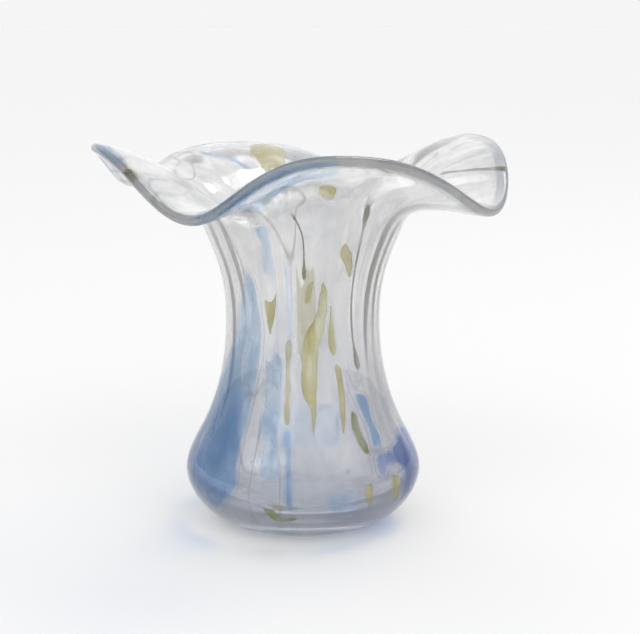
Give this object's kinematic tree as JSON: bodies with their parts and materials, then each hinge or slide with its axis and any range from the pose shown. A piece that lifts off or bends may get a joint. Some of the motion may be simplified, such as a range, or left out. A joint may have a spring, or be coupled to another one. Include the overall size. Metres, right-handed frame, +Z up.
{
  "type": "blown glass vase",
  "caption": "Bellied vase with a narrow waist and a flared rim of four waves, in clear cased glass with blue, olive and amber chips and threads.",
  "frame": {"origin": "centre of the flat polished foot, on the surface that the vase stands on", "axes": "+Z up along the body, -Y towards the front with the broad front crest of the rim, +X to the right"},
  "size_m": [0.1951, 0.1951, 0.1869],
  "materials": {
    "clear_glass": "clear, fire polished, with seeds and small bubbles",
    "veil_glass": "thin milky skin with soft streaks, translucent",
    "blue_glass": "transparent cobalt blue, drawn into soft streaks",
    "pale_blue_glass": "pale translucent blue",
    "violet_glass": "transparent violet blue",
    "olive_glass": "translucent olive gold, mottled",
    "amber_glass": "translucent amber yellow",
    "green_glass": "translucent grey green",
    "smoke_glass": "dark smoke thread in the glass"
  },
  "bodies": {
    "root": {"outer_gather": "clear_glass", "veil_gather": "veil_glass", "inner_gather": "clear_glass", "blue_streak_neck": "blue_glass", "dark_thread_centre": "smoke_glass", "dark_thread_right": "smoke_glass", "olive_patch_neck": "olive_glass", "olive_teardrop": "olive_glass", "olive_sliver": "olive_glass", "olive_tongue_left": "olive_glass", "olive_tongue_right": "olive_glass", "gold_cane": "amber_glass", "blue_veil_middle": "pale_blue_glass", "blue_wedge_right": "blue_glass", "amber_streak_right": "amber_glass", "green_chip_right": "green_glass", "blue_band_centre": "blue_glass", "blue_patch_base": "blue_glass", "olive_chip_base": "olive_glass", "green_curl_base": "green_glass", "blue_flank_left": "blue_glass", "violet_belly_right": "violet_glass", "olive_chip_belly": "olive_glass", "blue_flank_back": "blue_glass", "blue_streak_back": "blue_glass", "olive_tongue_back": "olive_glass", "olive_chip_back": "olive_glass", "blue_flank_side": "blue_glass", "blue_streak_side": "blue_glass", "blue_band_lip_front": "blue_glass", "olive_dot_lip_front": "olive_glass", "blue_edge_lip_left": "blue_glass", "dark_spot_lip_left": "smoke_glass", "blue_arc_lip_back": "blue_glass", "olive_smear_lip_back": "olive_glass", "blue_spot_lip_back": "blue_glass", "smoke_streak_lip_right": "smoke_glass"}
  },
  "joints": []
}
